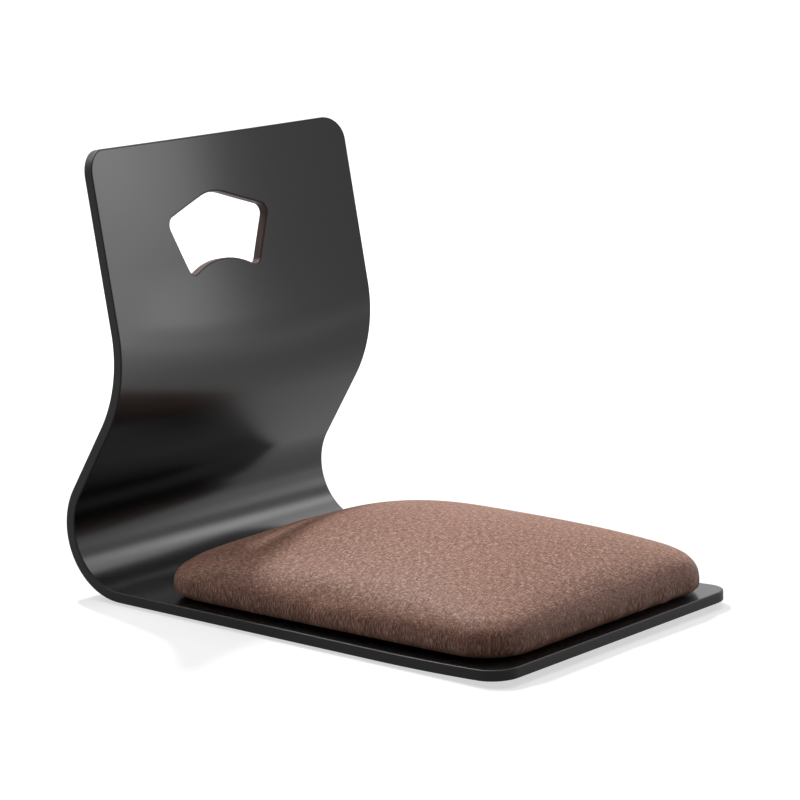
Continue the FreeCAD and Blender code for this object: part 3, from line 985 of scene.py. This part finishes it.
def felt_disc(name, x, y, around=GLIDE_POINTS):
    """A closed round disc that lies on the floor, with its lower rim rounded."""
    levels = [(0.0, 0.0)]
    for angle in np.radians((-90, -60, -30, 0)):
        radius = GLIDE_RADIUS - GLIDE_ROUNDING * (1 - math.cos(angle))
        levels.append((radius, GLIDE_ROUNDING * (1 + math.sin(angle))))
    levels.append((GLIDE_RADIUS, GLIDE_THICKNESS))
    levels.append((0.0, GLIDE_THICKNESS))
    points, faces = [Vector((x, y, 0))], []
    for radius, height in levels[1:-1]:
        for index in range(around):
            angle = 2 * math.pi * index / around
            across = x + radius * math.cos(angle)
            along = y + radius * math.sin(angle)
            points.append(Vector((across, along, height)))
    points.append(Vector((x, y, GLIDE_THICKNESS)))
    last = len(points) - 1
    for index in range(around):
        following = (index + 1) % around
        faces.append((0, 1 + following, 1 + index))
        for row in range(len(levels) - 3):
            low = 1 + row * around
            high = low + around
            faces.append((low + index, low + following, high + following, high + index))
        top = last - around
        faces.append((top + index, top + following, last))
    mesh = bpy.data.meshes.new(name)
    mesh.from_pydata(points, [], faces)
    return in_scene(name, mesh)


felt = needle_felt()
for end in ("front", "rear"):
    for side in ("left", "right"):
        node = "felt_glide_" + end + "_" + side
        low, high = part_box(node)
        middle = (low + high) / 2
        disc = felt_disc("felt_" + end + "_" + side, middle.x, middle.y)
        disc.data.materials.append(felt)
        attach(disc, "root")
        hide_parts(node)


# The board and the fasteners keep their own solids: a bare birch board, zinc-plated nuts
# driven into it, wire staples through the cloth, and black screws that come up through
# the seat. The metal gets a small easing.
BIRCH_PALE = (0.62, 0.45, 0.27, 1)
BIRCH_DARK = (0.40, 0.25, 0.13, 1)
BIRCH_GRAIN = (260, 9, 1400)
BIRCH_FIGURE = (30, 2, 600)
BIRCH_RELIEF = 0.0002
ZINC_BRIGHT = (0.62, 0.63, 0.65, 1)
WIRE_GREY = (0.58, 0.58, 0.59, 1)
ZINC_BLACK = (0.035, 0.035, 0.038, 1)
SCUFFS = 700
SCUFF_DULLING = 0.18
SCUFF_RELIEF = 0.00005
METAL_EASING = 0.00012
EASING_SEGMENTS = 2


def bare_birch_plywood():
    """Sanded birch: long grain with a broad figure under it."""
    board = Shader("bare_birch_plywood", Roughness=0.62, Specular_IOR_Level=0.35)
    grain = board.noise(board.object_place(BIRCH_GRAIN), 1.0, 5.0, 0.6)
    figure = board.noise(board.object_place(BIRCH_FIGURE), 1.0, 3.0, 0.6)
    lines = board.spread(grain * 0.6 + figure * 0.4, 0.38, 0.62)
    board.out("Base Color", board.blend(lines, BIRCH_DARK, BIRCH_PALE))
    board.bump(grain, 0.3, BIRCH_RELIEF)
    return board.material


def plated(name, color, roughness):
    """Plated metal, duller where it is scuffed."""
    metal = Shader(name, Metallic=1.0, Base_Color=color)
    scuffs = metal.noise(metal.object_place(), SCUFFS, 4.0, 0.7)
    metal.out("Roughness", roughness + SCUFF_DULLING * scuffs)
    metal.bump(scuffs, 0.15, SCUFF_RELIEF)
    return metal.material


zinc = plated("bright_zinc", ZINC_BRIGHT, 0.24)
wire = plated("galvanised_wire", WIRE_GREY, 0.32)
black_zinc = plated("black_zinc", ZINC_BLACK, 0.36)
for node, material, eased in (
    ("seat_board", bare_birch_plywood(), False),
    ("tee_nuts", zinc, True),
    ("cover_staples", wire, True),
    ("dust_cover_staples", wire, True),
    ("pad_screws", black_zinc, True),
):
    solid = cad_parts[node]
    solid.data.materials.clear()
    solid.data.materials.append(material)
    if eased:
        easing = solid.modifiers.new("easing", "BEVEL")
        easing.width = METAL_EASING
        easing.segments = EASING_SEGMENTS
        easing.limit_method = "ANGLE"


# The floor and the light: a wide grey floor with a painted white glow that is weaker close to the
# chair, more so in reflections, a small key lamp high behind the chair, and large soft lamps around it.
FLOOR_REACH = 30.0
DIM_UNTIL = 0.45
WHITE_FROM = 1.6
SEEN_NEARBY = 0.62
MIRRORED_NEARBY = 0.4
RAYS_THAT_LOOK = ("Is Camera Ray", "Is Glossy Ray", "Is Transmission Ray")

floor_mesh = bpy.data.meshes.new("floor")
floor_corners = [(x * FLOOR_REACH, y * FLOOR_REACH, 0) for x, y in ((-1, -1), (1, -1), (1, 1), (-1, 1))]
floor_mesh.from_pydata(floor_corners, [], [(0, 1, 2, 3)])
floor = in_scene("floor", floor_mesh)
floor_paint = Shader("grey_floor_painted_glow", Roughness=0.9, Specular_IOR_Level=0.1,
                     Base_Color=(0.35, 0.35, 0.35, 1), Emission_Strength=1.0)
# The floor's white is a painted glow that only the camera and reflections see. It is weaker close to
# the chair, so the chair's shadow shows there and the near floor looks darker in reflections.
light_path = floor_paint.add("ShaderNodeLightPath").socket.node
looks = [Wire(floor_paint, light_path.outputs[name]) for name in RAYS_THAT_LOOK]
place = floor_paint.object_place()
apart = floor_paint.add("ShaderNodeVectorMath", {"operation": "LENGTH"}, {0: place}, 1)
seen_glow = floor_paint.spread(apart, DIM_UNTIL, WHITE_FROM, SEEN_NEARBY, 1.0)
mirrored_glow = floor_paint.spread(apart, DIM_UNTIL, WHITE_FROM, MIRRORED_NEARBY, 1.0)
glow = seen_glow * looks[0] + mirrored_glow * (looks[1] + looks[2])
glow_grey = floor_paint.add("ShaderNodeCombineXYZ", {}, {0: glow, 1: glow, 2: glow})
floor_paint.out("Emission Color", glow_grey)
floor.data.materials.append(floor_paint.material)


def lamp(name, place, aim, size, power, color=(1, 1, 1)):
    """A flat rectangular lamp at a place, turned to what it lights."""
    data = bpy.data.lights.new(name, "AREA")
    data.shape = "RECTANGLE"
    data.size, data.size_y = size
    data.energy = power
    data.color = color
    turned = (Vector(aim) - Vector(place)).to_track_quat("-Z", "Y")
    in_scene(name, data).matrix_world = Matrix.Translation(place) @ turned.to_matrix().to_4x4()


lamp("key_above", (0.50, 1.45, 2.6), (0, 0, 0.1), (0.16, 0.16), 68, (1.0, 0.97, 0.94))
lamp("sky_behind", (-0.54, 1.77, 2.41), (0, 0, 0.05), (1.0, 1.0), 38)
lamp("sky_above", (0.26, 0.0, 3.04), (0, 0, 0.05), (1.0, 1.0), 27)
lamp("sky_right", (2.05, 0.0, 2.25), (0, 0, 0.05), (1.9, 1.9), 18)
lamp("window_right_front", (2.58, -1.12, 0.56), (0, 0.2, 0.3), (1.60, 1.10), 5.0)
lamp("window_upper_half", (2.63, -1.03, 0.90), (0, 0.2, 0.35), (1.40, 0.56), 3.0)
lamp("window_high", (1.75, -0.61, 1.49), (0, 0.24, 0.08), (0.8, 0.33), 2.8)

# The room is white where the camera, a reflection or glass looks at it, and almost dark for
# the light that falls on the chair, which comes from the lamps.
ROOM_LIGHT = 0.03
WHITE = (1, 1, 1, 1)

world = bpy.data.worlds.new("white_room")
bpy.context.scene.world = world
world.use_nodes = True
room = world.node_tree
background = room.nodes["Background"]
background.inputs["Color"].default_value = WHITE
rays = room.nodes.new("ShaderNodeLightPath")
total = rays.outputs[RAYS_THAT_LOOK[0]]
for name in RAYS_THAT_LOOK[1:]:
    added = room.nodes.new("ShaderNodeMath")
    room.links.new(total, added.inputs[0])
    room.links.new(rays.outputs[name], added.inputs[1])
    total = added.outputs[0]
strength = room.nodes.new("ShaderNodeMapRange")
room.links.new(total, strength.inputs["Value"])
strength.inputs["To Min"].default_value = ROOM_LIGHT
strength.inputs["To Max"].default_value = 1.0
room.links.new(strength.outputs[0], background.inputs["Strength"])

bpy.context.scene.view_settings.view_transform = "Standard"
